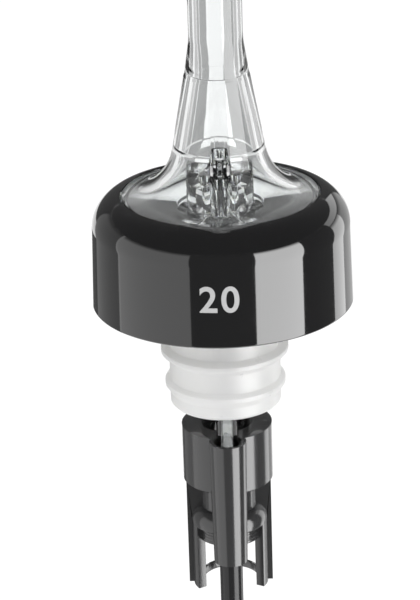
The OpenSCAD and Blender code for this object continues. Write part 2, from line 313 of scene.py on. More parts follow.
def vary(tree, noise, socket, low, high):
    """Spreads the middle range of a noise, where most of it lies, over a socket between two values."""
    spread = tree.nodes.new("ShaderNodeMapRange")
    spread.inputs["From Min"].default_value = NOISE_LOW
    spread.inputs["From Max"].default_value = NOISE_HIGH
    spread.inputs["To Min"].default_value = low
    spread.inputs["To Max"].default_value = high
    tree.links.new(noise.outputs["Fac"], spread.inputs["Value"])
    tree.links.new(spread.outputs["Result"], socket)


def add_bump(tree, shader, noise, height_mm, strength):
    """Small hills and dips that only the light sees."""
    bump = tree.nodes.new("ShaderNodeBump")
    bump.inputs["Distance"].default_value = height_mm * mm
    bump.inputs["Strength"].default_value = strength
    tree.links.new(noise.outputs["Fac"], bump.inputs["Height"])
    tree.links.new(bump.outputs["Normal"], shader.inputs["Normal"])


# %% [markdown]
# The spout and the stem are moulded in clear plastic. A see-through shell would be quicker, but would look like
# film. With full transmission the light bends at both faces of a real wall. Faint bump drawn out along the spout
# stands for the flow lines of moulding, and uneven roughness for handling.

# %% Clear moulding
def clear_moulding():
    """Polished clear plastic with faint flow lines along the spout."""
    material, tree, shader = new_material("clear_moulding", base=(0.93, 0.94, 0.94), roughness=0.02, ior=1.57)
    shader.inputs["Transmission Weight"].default_value = 1.0
    flow = object_noise(tree, scale=420, stretch=(1, 1, 0.06))
    add_bump(tree, shader, flow, height_mm=0.012, strength=0.35)
    scuffs = object_noise(tree, scale=260)
    vary(tree, scuffs, shader.inputs["Roughness"], low=0.01, high=0.05)
    return material


# %% [markdown]
# The collar is polished black, and its look is nearly all reflection. A clear coat gives the sharp reflection on
# top of a softer one. A slow, low wave bends the softer one a little, as on real moulded plastic, and its roughness
# varies like a fine haze.

# %% Black gloss
def black_gloss():
    """The collar's polished black, with a faint waviness and fine haze."""
    material, tree, shader = new_material("black_gloss", base=(0.006, 0.006, 0.0065), roughness=0.06, ior=1.5)
    shader.inputs["Coat Weight"].default_value = 1.0
    shader.inputs["Coat IOR"].default_value = 1.6
    shader.inputs["Coat Roughness"].default_value = 0.05
    haze = object_noise(tree, scale=160)
    vary(tree, haze, shader.inputs["Roughness"], low=0.045, high=0.085)
    wave = object_noise(tree, scale=55, detail=1.0)
    add_bump(tree, shader, wave, height_mm=0.02, strength=0.12)
    return material


# %% [markdown]
# The cage is moulded in a greyer black with a satin surface. A rough coat gives the broad sheen that runs down its
# ribs and column, and a finer layer under it has the flow lines and a tight grain.

# %% Black satin moulding
def black_moulding():
    """The cage's black, a little grey and satin, with flow lines along its length."""
    material, tree, shader = new_material("black_moulding", base=(0.038, 0.038, 0.039), roughness=0.2)
    shader.inputs["Coat Weight"].default_value = 0.8
    shader.inputs["Coat IOR"].default_value = 1.6
    shader.inputs["Coat Roughness"].default_value = 0.2
    flow = object_noise(tree, scale=700, stretch=(1, 1, 0.12))
    vary(tree, flow, shader.inputs["Roughness"], low=0.09, high=0.17)
    grain = object_noise(tree, scale=2600)
    add_bump(tree, shader, grain, height_mm=0.01, strength=0.25)
    return material


# %% [markdown]
# The vent tube is drawn through a die, which leaves lines along it. Noise that is a hundred times longer than wide
# gives such lines, in the roughness and in a very low bump.

# %% Black tube
def black_tube():
    """Drawn tube, darker than the cage, with lines along it."""
    material, tree, shader = new_material("black_tube", base=(0.018, 0.018, 0.019), roughness=0.2)
    lines = object_noise(tree, scale=1500, stretch=(1, 1, 0.01))
    vary(tree, lines, shader.inputs["Roughness"], low=0.15, high=0.24)
    add_bump(tree, shader, lines, height_mm=0.006, strength=0.2)
    return material


# %% [markdown]
# The cork is a soft white that lets light in. Plain white would make hard shadows between its fins. Subsurface
# scattering spreads the light by a few millimetres instead, so the fins glow a little at their thin edges.

# %% Soft white
def soft_white():
    """Translucent white of the cork: light goes in and comes out again nearby."""
    material, tree, shader = new_material("soft_white", base=(0.9, 0.9, 0.89), roughness=0.32, ior=1.51)
    shader.inputs["Subsurface Weight"].default_value = 0.6
    shader.inputs["Subsurface Radius"].default_value = (1, 1, 0.95)
    shader.inputs["Subsurface Scale"].default_value = 2.5 * mm
    satin = object_noise(tree, scale=500)
    vary(tree, satin, shader.inputs["Roughness"], low=0.27, high=0.4)
    add_bump(tree, shader, satin, height_mm=0.02, strength=0.15)
    return material


# %% [markdown]
# The balls are ground steel with very fine scratches, and the print is a thin matt ink that took unevenly. Both are
# small in the picture, so one noise each is enough.

# %% Steel and print
def ball_steel():
    """Ground and polished ball steel with very fine scratches."""
    material, tree, shader = new_material("ball_steel", base=(0.72, 0.73, 0.75), roughness=0.12)
    shader.inputs["Metallic"].default_value = 1.0
    scratches = object_noise(tree, scale=3000, stretch=(1, 0.2, 1))
    vary(tree, scratches, shader.inputs["Roughness"], low=0.08, high=0.18)
    return material


def light_print():
    """Light grey pad print, matt and a little uneven."""
    material, tree, shader = new_material("light_print", base=(0.6, 0.6, 0.6), roughness=0.5)
    ink = object_noise(tree, scale=1800)
    vary(tree, ink, shader.inputs["Roughness"], low=0.42, high=0.6)
    add_bump(tree, shader, ink, height_mm=0.01, strength=0.3)
    return material


# %% Make the finishes
clear = clear_moulding()
gloss = black_gloss()
satin_black = black_moulding()
tube_black = black_tube()
white = soft_white()
steel = ball_steel()
print_ink = light_print()
print("finishes:", [finish.name for finish in (clear, gloss, satin_black, tube_black, white, steel, print_ink)])

# %% [markdown]
# ## The two axes
#
# The drink runs on one axis, a little behind the middle, and the air on another, in front of it. Both are read from
# the CAD boxes: the metering ball is on the first and the vent tube on the second. Reading them is better than
# writing them down again, because the pieces then follow the CAD model.

# %% Axes
def middle_of(node):
    """The middle of a node's box in millimetres."""
    low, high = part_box(node)
    return (low + high) / 2 / mm


def heights(node):
    """The lowest and the highest point of a node in millimetres."""
    low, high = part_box(node)
    return low.z / mm, high.z / mm


def reach(node):
    """Half the width of a node in millimetres, which is its radius where it is round."""
    low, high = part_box(node)
    return (high.x - low.x) / 2 / mm


meter_axis = tuple(middle_of("metering_ball")[:2])
air_axis = tuple(middle_of("vent_tube")[:2])
print("metering axis at y %.2f mm, air axis at y %.2f mm" % (meter_axis[1], air_axis[1]))

# %% [markdown]
# ## The collar
#
# The collar is the largest piece and the darkest, so its look comes from its edges and from what it reflects. The
# shoulder is an arc that meets the wall without a corner, and the lip of the opening has a small round that shows as
# a bright line. The inside follows the real moulding: a pocket for the flanges, a snap bead and a hollow skirt.

# %% Collar sizes
collar_r = reach("collar")
collar_h = heights("collar")[1]
draft = 0.4
shoulder_r = 5.2
opening_r = 15.5
skirt_in = 19.0
pocket_r = 16.7
bead_r = 16.04
inner_wall_r = 17.8
flange_top = collar_h - 1.0
bead_low = 10.37
bead_high = 11.25
coring_top = 13.5
shoulder_x = collar_r - draft - shoulder_r
shoulder_z = collar_h - shoulder_r
LIP = 0.22
TUCK = 0.02
COLLAR_SIDES = 224
SHOULDER_STEPS = 40


# %% Collar
def wall_r(z):
    """Radius of the collar's outer wall at a height."""
    return collar_r - draft * z / shoulder_z


def make_collar():
    """The collar as one outline: up the outside, over the shoulder and down through the pocket and the skirt."""
    top_angle = math.degrees(math.acos((opening_r + LIP - shoulder_x) / shoulder_r))
    shoulder = arc(shoulder_x, shoulder_z, shoulder_r, 0, top_angle, SHOULDER_STEPS)
    outline = [(skirt_in, 0, 0.3), (collar_r, 0, 0.35)] + shoulder
    outline += [(opening_r, shoulder[-1][1] + TUCK, 0.12), (opening_r, flange_top, 0.1)]
    outline += [(pocket_r, flange_top, 0.1), (pocket_r, bead_high), (bead_r, bead_high, 0.2)]
    outline += [(bead_r, bead_low, 0.3), (inner_wall_r, bead_low, 0.15), (inner_wall_r, coring_top, 0.4)]
    outline += [(skirt_in, coring_top, 0.4)]
    return soften(turn("collar_shell", rounded(outline), sides=COLLAR_SIDES), 0)


collar_shell = make_collar()
settle(collar_shell, "collar", "pourer", gloss)

# %% [markdown]
# ## The measure on the collar
#
# The place of the printed measure holds a plain number of millilitres. The digits are flat text, made a mesh and
# pushed through the wall, and only what lies in a thin skin on the wall is kept, so the print follows the curve.

# %% Print
MARK = "20"
MARK_HEIGHT = 4.0
MARK_X = -0.7
MARK_Z = 5.9
MARK_STAND = 2.0
MARK_REACH = 3.0
MARK_SPACING = 1.15
MARK_WEIGHT = 0.09
DIGIT_SHARE = 0.7
INK = 0.03
SKIN_DEPTH = 0.2
SKIN_LOW = 1
SKIN_HIGH = 12


def make_mark():
    """Digits of the mark's height, cut out of a thin skin that stands proud of the wall by the ink."""
    deselect()
    bpy.ops.object.text_add(location=(MARK_X * mm, -(collar_r + MARK_STAND) * mm, MARK_Z * mm),
                            rotation=(math.pi / 2, 0, 0))
    text = bpy.context.object
    text.data.body = MARK
    text.data.align_x = "CENTER"
    text.data.size = MARK_HEIGHT / DIGIT_SHARE * mm
    text.data.space_character = MARK_SPACING
    text.data.offset = MARK_WEIGHT * mm
    text.data.extrude = MARK_REACH * mm
    bpy.ops.object.convert(target="MESH")
    mark = bpy.context.object
    mark.name = "measure_print"
    bpy.ops.object.transform_apply(location=True, rotation=True, scale=True)
    skin = [(wall_r(SKIN_LOW) - SKIN_DEPTH, SKIN_LOW), (wall_r(SKIN_LOW) + INK, SKIN_LOW),
            (wall_r(SKIN_HIGH) + INK, SKIN_HIGH), (wall_r(SKIN_HIGH) - SKIN_DEPTH, SKIN_HIGH)]
    combine(mark, turn("skin", skin, sides=2 * COLLAR_SIDES), "INTERSECT")
    return soften(mark, 0)


measure_print = make_mark()
measure_print.data.materials.clear()
measure_print.data.materials.append(print_ink)
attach(measure_print, "pourer")
print("%s: %d faces" % (measure_print.name, len(measure_print.data.polygons)))

# %% [markdown]
# ## The spout
#
# The spout is one clear moulding: a flange, a flare, a slim neck cone and a straight tube. Clear plastic shows both
# of its faces, so the inside is drawn as carefully as the outside. The wall is one closed outline. The hollow under
# the flare is wider here than in the CAD model, because a thick ring of clear plastic at its foot turned black in
# the render.

# %% Spout sizes
flange_low, tip_z = heights("spout")
flange_r = reach("spout")
flare_edge_r = opening_r - 0.2
cavity_r = 14.4
flare_wall = 1.6
flare_r = 9.0
foot_rise = 0.8
neck_r = 7.2
neck_h = 11.6
neck_top_r = 5.1
neck_bore_r = 5.2
neck_bore_top_r = 3.18
spout_r = 4.17
spout_bore_r = 2.95
tip_bore_r = 2.8
step_in = 0.16
step_h = 0.5
blend_h = 5.6
tip_angle = math.radians(35)
neck_tilt = math.atan((neck_r - neck_top_r) / neck_h)
flare_x = neck_r + flare_r * math.cos(neck_tilt)
flare_z = flange_top + foot_rise + flare_r
neck_z = flare_z - flare_r * math.sin(neck_tilt)
step_z = neck_z + neck_h
ceiling_z = neck_z + 0.1 * flare_wall
EXTRA = 1.0
FLARE_STEPS = 28
STEP_ROUND = 3.0
BLEND_ROUND = 8.0


# %% Spout outline
def flare_points(radius, low_r, high_z):
    """The concave arc of the flare, from a radius at its foot up to a height."""
    foot = 180 + math.degrees(math.acos((flare_x - low_r) / radius))
    top = 180 + math.degrees(math.asin((flare_z - high_z) / radius))
    return arc(flare_x, flare_z, radius, foot, top, FLARE_STEPS)


def outer_points():
    """Outside of the spout from the flange's foot to above the tip."""
    flare = flare_points(flare_r, flare_edge_r, neck_z)
    points = [(flange_r, flange_low, 0.15), (flange_r, flange_top, 0.15), (flare_edge_r, flange_top)]
    points += [(*flare[0], 0.15)] + flare[1:]
    points += [(neck_top_r, step_z, 0.4), (neck_top_r - step_in, step_z + step_h, STEP_ROUND)]
    points += [(spout_r, step_z + blend_h, BLEND_ROUND), (spout_r, tip_z + EXTRA)]
    return points


def inner_points():
    """Inside of the spout from above the tip down to the cavity's foot."""
    points = [(tip_bore_r, tip_z + EXTRA), (spout_bore_r, step_z, 0.1), (neck_bore_top_r, step_z, 0.08)]
    hollow = list(reversed(flare_points(flare_r + flare_wall, cavity_r, ceiling_z)))
    points += [(neck_bore_r, ceiling_z, 0.3)] + hollow[1:] + [(cavity_r, flange_low)]
    return points


# %% [markdown]
# The spout isn't fully round. A fine seam runs up its front and back, where the two halves of the mould meet. The
# line of vertices there is moved out by a hair, which is easier than cutting a ridge. The slanted tip is cut with
# bisect, which also closes the cut.

# %% Seam and tip
SEAM = 0.035
SEAM_MARGIN = 0.2
SEAM_HALF_WIDTH = 0.05


def raise_seam(piece):
    """Moves the line of vertices at the front and the back out a little."""
    for side in (-1, 1):
        pick(piece)
        bpy.ops.object.mode_set(mode="EDIT")
        bpy.ops.mesh.select_mode(type="VERT")
        bpy.ops.mesh.select_all(action="DESELECT")
        bpy.ops.object.mode_set(mode="OBJECT")
        for vertex in piece.data.vertices:
            outwards = side * vertex.co.y
            outside = outwards > (spout_r - SEAM_MARGIN) * mm and vertex.co.z > neck_z * mm
            inside = vertex.co.z < step_z * mm and outwards < (neck_top_r - SEAM_MARGIN) * mm
            vertex.select = outside and not inside and abs(vertex.co.x) < SEAM_HALF_WIDTH * mm
        bpy.ops.object.mode_set(mode="EDIT")
        bpy.ops.transform.translate(value=(0, side * SEAM * mm, 0))
        bpy.ops.object.mode_set(mode="OBJECT")


def cut_tip(piece):
    """Cuts the tube off at a slant, highest at the back."""
    pick(piece)
    bpy.ops.object.mode_set(mode="EDIT")
    bpy.ops.mesh.select_all(action="SELECT")
    bpy.ops.mesh.bisect(plane_co=(0, spout_r * mm, tip_z * mm),
                        plane_no=(0, -math.sin(tip_angle), math.cos(tip_angle)),
                        use_fill=True, clear_outer=True, clear_inner=False)
    bpy.ops.object.mode_set(mode="OBJECT")


# %% [markdown]
# A boss in the front of the neck takes the top of the air stem, and a small hole in front lets the air in. The boss
# is joined before its holes are cut, so that they go through both. It is first cut to the neck's own outside, or its
# front would stand out of the cone.

# %% Spout
boss_r = 1.5
boss_low = ceiling_z - 2.55
boss_top = neck_z + flare_wall
stem_r = 1.45
stem_tip_r = 0.95
air_way_r = 0.6
vent_hole_r = 0.6 * air_way_r
vent_hole_z = neck_z - 1.4 * vent_hole_r
socket_top = vent_hole_z - air_way_r
air_way_top = vent_hole_z + air_way_r
FIT = 0.05
BOSS_SIDES = 64
AIR_WAY_SIDES = 48
VENT_HOLE_SIDES = 40


def add_boss(shell):
    """Joins the boss for the air stem to the neck."""
    outline = [(0, boss_low), (boss_r, boss_low, 0.2), (boss_r, boss_top, 0.3), (0, boss_top)]
    boss = turn("boss", rounded(outline), air_axis, BOSS_SIDES)
    solid = rounded([(0, flange_low)] + outer_points() + [(0, tip_z + EXTRA)])
    combine(boss, turn("solid", solid), "INTERSECT")
    combine(shell, boss, "UNION")


def cut_air_holes(shell):
    """Room for the air stem, its socket in the boss, the way up from it and the hole in front."""
    relief = rod("relief", air_axis, stem_r + 2 * FIT, flange_low - EXTRA, boss_low + FIT, BOSS_SIDES)
    combine(shell, relief, "DIFFERENCE")
    socket = rod("socket", air_axis, stem_tip_r + FIT, boss_low - EXTRA, socket_top, BOSS_SIDES)
    combine(shell, socket, "DIFFERENCE")
    combine(shell, rod("air_way", air_axis, air_way_r, socket_top - EXTRA, air_way_top, AIR_WAY_SIDES), "DIFFERENCE")
    deselect()
    bpy.ops.mesh.primitive_cylinder_add(vertices=VENT_HOLE_SIDES, radius=vent_hole_r * mm, depth=neck_r * mm,
                                        location=(0, (air_axis[1] - neck_r / 2) * mm, vent_hole_z * mm),
                                        rotation=(math.pi / 2, 0, 0))
    combine(shell, bpy.context.object, "DIFFERENCE")


def make_spout():
    """The wall with its seam, then the boss and its holes, then the tip."""
    shell = turn("spout_shell", rounded(outer_points() + inner_points()))
    raise_seam(shell)
    add_boss(shell)
    cut_air_holes(shell)
    cut_tip(shell)
    return soften(shell, 0, angle=40)


spout_shell = make_spout()
settle(spout_shell, "spout", "pourer", clear)

# %% [markdown]
# ## The stem
#
# The second clear moulding closes the trumpet from below. Its disc has a round well, and out of the well stands the
# crown that the drink leaves through. Under the disc hang the wide metering tube and the slim air tube. The solids
# are joined first and the bores are cut last, so nothing is left inside the clear walls.

# %% Stem sizes
stem_low, stem_tip = heights("stem")
base_r = reach("stem")
FILM = 0.03
base_top = flange_low - FILM
base_low = flange_low - 1.9
root_z = base_low + 0.4
spigot_r = cavity_r - 0.1
spigot_top = flange_low + 0.48
well_r = 6.75
dish_r = 10.2
dish_low = spigot_top - 0.8
well_z = dish_low - 0.8
crown_r = 5.3
crown_wall = 1.9
crown_top = well_z + 8.3
crown_root_z = well_z - 0.3
crown_edge = 0.06
notch_r = 2.3
meter_r = 4.1
meter_bore = 3.3
orifice_r = 2.2
seat_z = base_low - 1.52
air_r = 1.75
air_bore = 1.3
air_bore_top = base_low - 0.76
stem_shoulder_z = boss_low - 0.3
meter_low = -30.15
DISC_SIDES = 160
AIR_TUBE_SIDES = 72
ROOM_STEPS = 96

# %% [markdown]
# The crown is a short tube with four slots, which leave four posts. A slot is a cylinder with a box on top of it, so
# its bottom is round and its top is open. Last, a ring of the flare's own arc trims the posts, so they stay clear of
# the spout's inner face.

# %% Crown
def make_notch(azimuth):
    """A slot with a round bottom that points out from the metering axis."""
    middle = crown_top - 0.6 * notch_r
    direction = Vector((math.cos(azimuth), math.sin(azimuth), 0))
    place = Vector((*meter_axis, middle)) + direction * crown_r
    deselect()
    bpy.ops.mesh.primitive_cylinder_add(vertices=64, radius=notch_r * mm, depth=2 * crown_r * mm,
                                        location=place * mm, rotation=(0, math.pi / 2, azimuth))
    slot = bpy.context.object
    bpy.ops.mesh.primitive_cube_add(size=1, location=(place + Vector((0, 0, notch_r))) * mm,
                                    rotation=(0, 0, azimuth))
    top = bpy.context.object
    top.scale = (2 * crown_r * mm, 2 * notch_r * mm, 2 * notch_r * mm)
    bpy.ops.object.transform_apply(location=False, rotation=False, scale=True)
    return combine(slot, top, "UNION")


def make_crown():
    """A ring with four slots, trimmed to clear the flare."""
    crown_bore = crown_r - crown_wall
    wall = rounded([(crown_bore, crown_root_z), (crown_r, crown_root_z), (crown_r, crown_top, 0.15),
                    (crown_bore, crown_top, 0.15)])
    crown = turn("crown", wall, meter_axis)
    for quarter in range(4):
        combine(crown, make_notch(math.pi / 4 + quarter * math.pi / 2), "DIFFERENCE")
    room = arc(flare_x, flare_z, flare_r + flare_wall + 2 * FIT, 0, 360, ROOM_STEPS)[:-1]
    combine(crown, turn("room", room), "DIFFERENCE")
    return soften(crown, crown_edge, angle=40)


# %% Stem
def make_disc():
    """The disc with its low spigot, and the well and the dish cut into it."""
    outline = rounded([(0, base_low), (base_r, base_low, 0.2), (base_r, base_top, 0.1), (spigot_r, base_top),
                       (spigot_r, spigot_top, 0.15), (0, spigot_top)])
    stem = turn("stem_moulding", outline, sides=DISC_SIDES)
    dish_top_r = dish_r + EXTRA * (dish_r - well_r) / (spigot_top - dish_low)
    well = rounded([(0, well_z), (well_r, well_z, 0.3), (well_r, dish_low, 0.25), (dish_top_r, spigot_top + EXTRA),
                    (0, spigot_top + EXTRA)])
    return combine(stem, turn("well", well, meter_axis), "DIFFERENCE")


def add_tubes(stem):
    """The metering tube and the air tube under the disc, and the slim air stem above it."""
    meter = rounded([(0, meter_low), (meter_r, meter_low, 0.2), (meter_r, root_z), (0, root_z)])
    combine(stem, turn("meter", meter, meter_axis), "UNION")
    air = rounded([(0, stem_low), (air_r, stem_low, 0.15), (air_r, root_z), (0, root_z)])
    combine(stem, turn("air", air, air_axis, AIR_TUBE_SIDES), "UNION")
    upper = rounded([(0, root_z), (stem_r, root_z), (stem_r, stem_shoulder_z, 0.25),
                     (stem_tip_r, stem_shoulder_z, 0.1), (stem_tip_r, stem_tip, 0.1), (0, stem_tip)])
    combine(stem, turn("upper", upper, air_axis, AIR_TUBE_SIDES), "UNION")


def cut_bores(stem):
    """The way of the drink, with the seat of its ball, and the way of the air."""
    way = [(0, meter_low - EXTRA), (meter_bore, meter_low - EXTRA), (meter_bore, seat_z),
           (orifice_r, seat_z + meter_bore - orifice_r), (orifice_r, spigot_top + EXTRA), (0, spigot_top + EXTRA)]
    combine(stem, turn("way", way, meter_axis), "DIFFERENCE")
    breath = [(0, stem_low - EXTRA), (air_bore, stem_low - EXTRA), (air_bore, air_bore_top),
              (air_way_r, air_bore_top + 0.3), (air_way_r, stem_tip + EXTRA), (0, stem_tip + EXTRA)]
    combine(stem, turn("breath", breath, air_axis, AIR_TUBE_SIDES), "DIFFERENCE")


def make_stem():
    """Disc, crown and tubes joined, and the bores cut last."""
    stem = make_disc()
    combine(stem, make_crown(), "UNION")
    add_tubes(stem)
    cut_bores(stem)
    return soften(stem, 0, angle=40)


stem_moulding = make_stem()
settle(stem_moulding, "stem", "pourer", clear)

# %% [markdown]
# ## The cork
#
# The cork is soft, so every edge of it is round. Its fins are thin skirts that bend as they go into the neck: each
# has a short upright edge, a long slope below and a short one above. They could be three rings joined to a bar, but
# one outline with three repeats has cleaner corners.

# %% Cork
cork_low, cork_top = heights("cork")
cork_r = 8.8
head_low = cork_top - 1.95
foot_h = 0.5
foot_in = 0.45
fin_edge = 0.7
fin_pitch = 5.55
fin_r = 9.55
fin_growth = 0.55
fin_low_z = cork_low + 3.7
fin_slope = 1.1
FINS = 3


def fin_points(index):
    """One fin of the cork's outline, from its upper slope down."""
    middle = fin_low_z + index * fin_pitch
    edge = fin_r + index * fin_growth
    return [(cork_r, middle + fin_edge / 2 + fin_slope / 2, 0.3), (edge, middle + fin_edge / 2, 0.16),
            (edge, middle - fin_edge / 2, 0.22), (cork_r, middle - fin_edge / 2 - fin_slope, 0.6)]


def make_cork():
    """Head, fins and foot in one outline, bored for the two tubes."""
    outline = [(0, cork_top), (base_r, cork_top, 0.2), (base_r, head_low, 0.3), (cork_r, head_low, 0.5)]
    for index in reversed(range(FINS)):
        outline += fin_points(index)
    outline += [(cork_r, cork_low + foot_h, 0.4), (cork_r - foot_in, cork_low, 0.35), (0, cork_low)]
    body = turn("cork_body", rounded(outline), sides=DISC_SIDES)
    for axis, tube_r, sides in ((meter_axis, meter_r, SIDES), (air_axis, air_r, AIR_TUBE_SIDES)):
        combine(body, rod("bore", axis, tube_r + FIT, cork_low - EXTRA, cork_top + EXTRA, sides), "DIFFERENCE")
    return soften(body, 0, angle=40)


cork_body = make_cork()
settle(cork_body, "cork", "pourer", white)

# %% [markdown]
# ## The cage
#
# The cage is the piece with the most shape. A sleeve is open at the top and grips the clear tubes, a slim neck leads
# to a bell that holds the ball, two ribbed legs stand below it, and a half ring ties their feet behind. The air
# column runs down the front and opens into the sleeve as a keyhole.

# %% Cage sizes
cage_low, cage_top = heights("cage")
sleeve_r = reach("cage")
sleeve_low = cage_top - 9.7
sleeve_in = sleeve_r - 1.35
floor_top = sleeve_low + 1.5
sleeve_edge = 0.25
cage_neck_r = 4.33
bell_r = 6.15
bell_round = 2.4
bell_top = sleeve_low - 4.8
bell_low = bell_top - 5.4
bell_edge = bell_low + 2.5
leg_wall = 1.4
chamber_r = bell_r - leg_wall
mouth_r = chamber_r + 0.55
rib_r = bell_r + 0.7
rib_t = 0.9
leg_half = math.radians(30)
tie_h = 1.25
tie_wall = 0.5
tie_in_r = 4.5
column_r = 2.97
column_foot_r = 2.68
column_low = cage_top - 21
keyhole_r = 2.3
socket_wall = 0.8
socket_h = 5.0
vent_r = reach("vent_tube")
grip_top = column_low + 7
web_top = grip_top + 1.4
cage_edge = 0.1
GROOVES = 4
GROOVE = 0.07
LEG_SIDES = 24
TIE_SIDES = 64
TUBE_SIDES = 96
BELL_STEPS = 20

# %% [markdown]
# Sleeve, neck and bell share the metering axis, so one turned outline has them all, filled for now. The bell's
# shoulder starts where its arc reaches the neck's radius. Fine grooves run round the thin ring at the bell's mouth.

# %% Cage body
def cage_body():
    """Sleeve, neck, round-shouldered bell and the thin mouth ring with its fine grooves."""
    start = math.degrees(math.acos((cage_neck_r - bell_r + bell_round) / bell_round))
    shoulder = arc(bell_r - bell_round, bell_top - bell_round, bell_round, start, 0, BELL_STEPS)
    outline = [(0, cage_top), (sleeve_r, cage_top), (sleeve_r, sleeve_low + sleeve_edge)]
    outline += [(sleeve_r - sleeve_edge, sleeve_low), (cage_neck_r, sleeve_low, 0.3), (*shoulder[0], 0.2)]
    outline += shoulder[1:] + [(bell_r, bell_edge, 0.12), (mouth_r, bell_edge, 0.1)]
    for line in range(1, GROOVES + 1):
        z = bell_edge - line * (bell_edge - bell_low) / (GROOVES + 1)
        outline += [(mouth_r, z + GROOVE), (mouth_r - GROOVE, z), (mouth_r, z - GROOVE)]
    outline += [(mouth_r, bell_low), (0, bell_low)]
    return turn("cage_moulding", rounded(outline), meter_axis)


def add_column(cage):
    """The column for the air, a little slimmer at its foot."""
    outline = [(0, column_low), (column_foot_r, column_low), (column_r, cage_top), (0, cage_top)]
    combine(cage, turn("column", outline, air_axis, TUBE_SIDES), "UNION")


# %% [markdown]
# A leg is a part of the bell's wall carried further down, so it is a part turn. One flat bar through the axis makes
# both ribs, with the room inside the legs cut out of it. Each piece is tucked a hair into the next, because two
# faces in one plane confuse a boolean.

# %% Legs
def sector(name, in_r, out_r, low, high, start, stop, sides):
    """Part of a ring between two azimuths, in radians."""
    outline = [(in_r, low), (out_r, low), (out_r, high), (in_r, high)]
    return turn(name, outline, meter_axis, sides, start, stop - start)


def add_legs(cage):
    """Two legs with a rib on each, and the half ring behind that ties their feet."""
    for side in (0, math.pi):
        leg = sector("leg", chamber_r - TUCK, bell_r - TUCK, cage_low, bell_edge + TUCK,
                     side - leg_half, side + leg_half, LEG_SIDES)
        combine(cage, leg, "UNION")
    deselect()
    rib_h = sleeve_low + sleeve_edge - cage_low
    bpy.ops.mesh.primitive_cube_add(size=1, location=(0, meter_axis[1] * mm, (cage_low + rib_h / 2) * mm))
    ribs = bpy.context.object
    bpy.ops.transform.resize(value=(2 * rib_r * mm, rib_t * mm, rib_h * mm))
    bpy.ops.object.transform_apply(location=False, rotation=False, scale=True)
    combine(ribs, rod("room", meter_axis, chamber_r, cage_low - EXTRA, bell_low), "DIFFERENCE")
    combine(cage, ribs, "UNION")
    tie = sector("tie", tie_in_r, tie_in_r + tie_wall, cage_low + TUCK, cage_low + tie_h, 0, math.pi, TIE_SIDES)
    combine(cage, tie, "UNION")


# %% [markdown]
# The cage is hollowed last. On the metering axis a ring-shaped room goes into the sleeve round the tube's socket, and
# the ball's way goes through the whole. On the air axis the bore has three widths: the vent tube's grip, a narrow web
# and the air tube's room, which widens to the keyhole at the top.

# %% Cage
def cut_ball_way(cage):
    """The room round the socket in the sleeve, and the way for the ball."""
    socket_r = meter_r + FIT
    sleeve = [(socket_r + socket_wall, floor_top), (sleeve_in, floor_top), (sleeve_in, cage_top + EXTRA),
              (0, cage_top + EXTRA), (0, floor_top + socket_h), (socket_r + socket_wall, floor_top + socket_h)]
    combine(cage, turn("sleeve", sleeve, meter_axis), "DIFFERENCE")
    way = [(0, bell_low - EXTRA), (chamber_r, bell_low - EXTRA), (chamber_r, bell_top - bell_round),
           (meter_bore, bell_top - leg_wall / 2), (meter_bore, floor_top), (socket_r, floor_top),
           (socket_r, floor_top + socket_h + EXTRA), (0, floor_top + socket_h + EXTRA)]
    combine(cage, turn("way", way, meter_axis), "DIFFERENCE")


def cut_air_way(cage):
    """The bore for the vent tube, the web above it, the room of the air tube and the keyhole."""
    way = [(0, column_low - EXTRA), (vent_r + FIT, column_low - EXTRA), (vent_r + FIT, grip_top),
           (air_way_r, grip_top), (air_way_r, web_top), (air_r + FIT, web_top),
           (air_r + FIT, cage_top - keyhole_r), (keyhole_r, cage_top - keyhole_r),
           (keyhole_r, cage_top + EXTRA), (0, cage_top + EXTRA)]
    combine(cage, turn("breath", way, air_axis, TUBE_SIDES), "DIFFERENCE")


def make_cage():
    """The body, the column and the legs joined, and the two ways cut through them."""
    cage = cage_body()
    add_column(cage)
    add_legs(cage)
    cut_ball_way(cage)
    cut_air_way(cage)
    return soften(cage, cage_edge, angle=38)


cage_moulding = make_cage()
settle(cage_moulding, "cage", "pourer", satin_black)

# %% [markdown]
# ## Tube, stops and balls
#
# The small pieces are turned as well. The vent tube has its cut ends just broken, the stop ring and the bush have a
# chamfer to start them, and the balls are turned from half a circle. A sphere primitive would do for a ball too, but
# turning puts the ball's place straight into its mesh, as for all the other pieces.

# %% Vent tube
vent_low, vent_high = heights("vent_tube")
vent_wall = 0.5
vent_outline = rounded([(vent_r - vent_wall, vent_low, 0.1), (vent_r, vent_low, 0.15),
                        (vent_r, vent_high, 0.15), (vent_r - vent_wall, vent_high, 0.1)])
vent_pipe = soften(turn("vent_pipe", vent_outline, air_axis, TUBE_SIDES), 0)
settle(vent_pipe, "vent_tube", "pourer", tube_black)


# %% Ball stop and air bush
def make_ring(name, node, axis, hole_r, chamfer):
    """A ring of its node's width and height, with all four edges rounded."""
    low, high = heights(node)
    out_r = reach(node)
    outline = rounded([(hole_r, low, chamfer), (out_r, low, chamfer), (out_r, high, chamfer),
                       (hole_r, high, chamfer)])
    return soften(turn(name, outline, axis, TUBE_SIDES), 0)


stop_ring = make_ring("stop_ring", "ball_stop", meter_axis, hole_r=2.4, chamfer=0.2)
settle(stop_ring, "ball_stop", "pourer", satin_black)
bush_ring = make_ring("bush_ring", "air_bush", air_axis, hole_r=0.7, chamfer=0.15)
settle(bush_ring, "air_bush", "pourer", white)

# %% Balls
BALL_STEPS = 48


def make_ball(name, node, axis, body):
    """A ball from half a circle, whose ends lie exactly on the axis so that the poles close."""
    low, high = heights(node)
    outline = arc(0, (low + high) / 2, (high - low) / 2, -90, 90, BALL_STEPS)
    outline[0] = (0, outline[0][1])
    outline[-1] = (0, outline[-1][1])
    ball = soften(turn(name, outline, axis, TUBE_SIDES), 0)
    settle(ball, node, body, steel)


